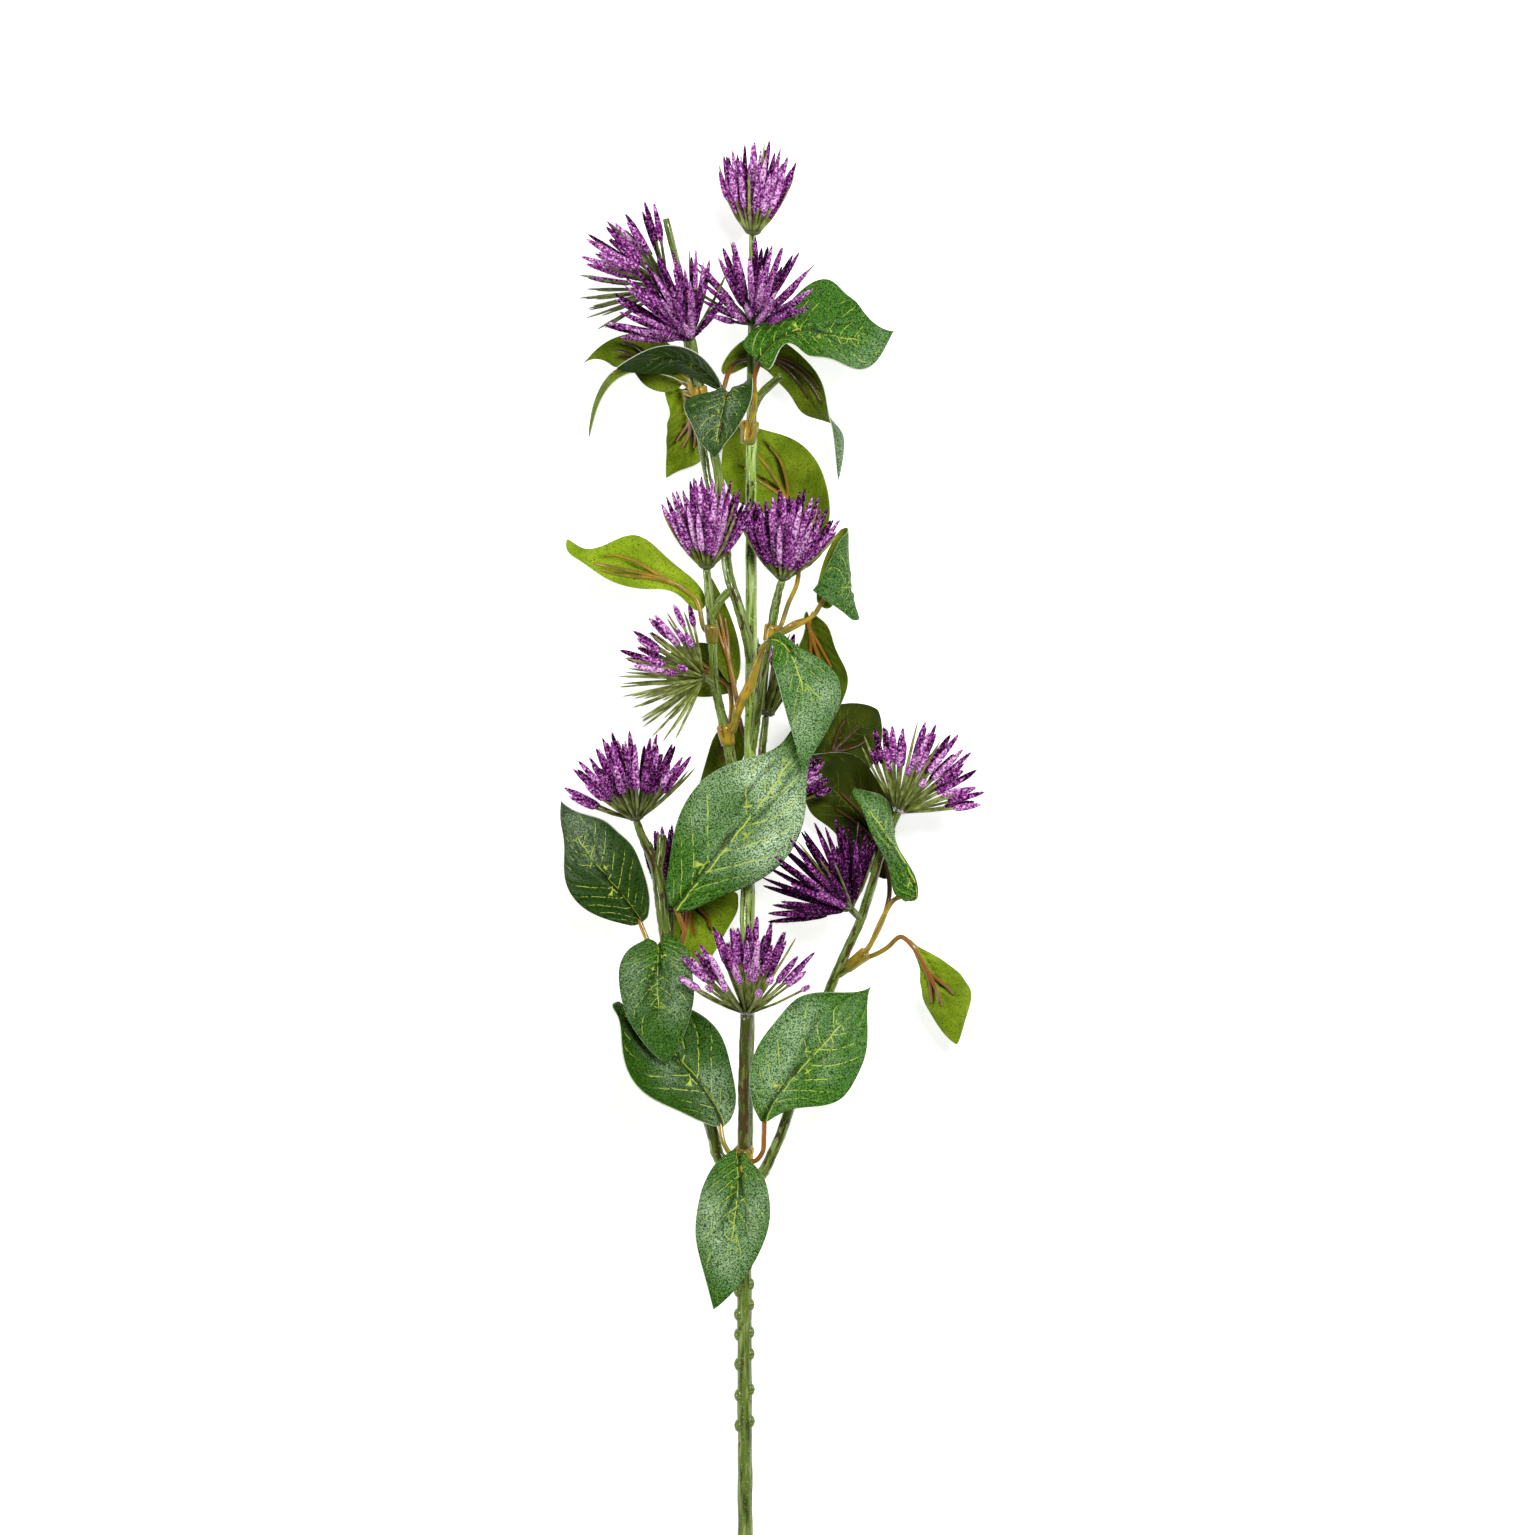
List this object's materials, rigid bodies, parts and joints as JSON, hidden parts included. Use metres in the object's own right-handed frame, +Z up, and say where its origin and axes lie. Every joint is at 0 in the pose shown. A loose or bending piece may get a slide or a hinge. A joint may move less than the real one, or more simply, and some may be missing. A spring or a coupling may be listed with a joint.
{
  "type": "artificial centaurea stem",
  "caption": "Artificial stem lying down: branching moulded stalks with veined fabric leaves on ochre yokes and thistle-like heads of purple flocked needles.",
  "frame": {"origin": "middle of the bounding box in X and Y, on the surface that the stem lies on", "axes": "+Y along the stem from the cut end to the top flower, +X to the right seen from above with the cut end nearest, +Z up"},
  "size_m": [0.1873, 0.6815, 0.0934],
  "materials": {
    "stem": "satin moulded plastic with pale streaks",
    "petiole": "satin ochre plastic",
    "leaf": "printed fabric, satin on top and dull below",
    "flower": "green plastic needles with purple flocked ends"
  },
  "bodies": {
    "root": {"main_stem": "stem", "branch_front": "stem", "branch_left": "stem", "branch_right": "stem", "sprig_top_left": "stem", "sprig_mid_left": "stem", "sprig_mid_right": "stem", "sprig_back": "stem", "yoke_01": "petiole", "yoke_02": "petiole", "yoke_03": "petiole", "yoke_04": "petiole", "yoke_05": "petiole", "yoke_06": "petiole", "yoke_07": "petiole", "yoke_08": "petiole", "yoke_09": "petiole", "yoke_10": "petiole", "leaf_01": "leaf", "leaf_02": "leaf", "leaf_03": "leaf", "leaf_04": "leaf", "leaf_05": "leaf", "leaf_06": "leaf", "leaf_07": "leaf", "leaf_08": "leaf", "leaf_09": "leaf", "leaf_10": "leaf", "leaf_11": "leaf", "leaf_12": "leaf", "leaf_13": "leaf", "leaf_14": "leaf", "leaf_15": "leaf", "leaf_16": "leaf", "leaf_17": "leaf", "leaf_18": "leaf", "leaf_19": "leaf", "leaf_20": "leaf", "leaf_21": "leaf", "leaf_22": "leaf", "leaf_23": "leaf", "leaf_24": "leaf", "leaf_25": "leaf", "leaf_26": "leaf", "head_01": "flower", "head_02": "flower", "head_03": "flower", "head_04": "flower", "head_05": "flower", "head_06": "flower", "head_07": "flower", "head_08": "flower", "head_09": "flower", "head_10": "flower", "head_11": "flower", "head_12": "flower", "head_13": "flower", "head_14": "flower"}
  },
  "joints": []
}
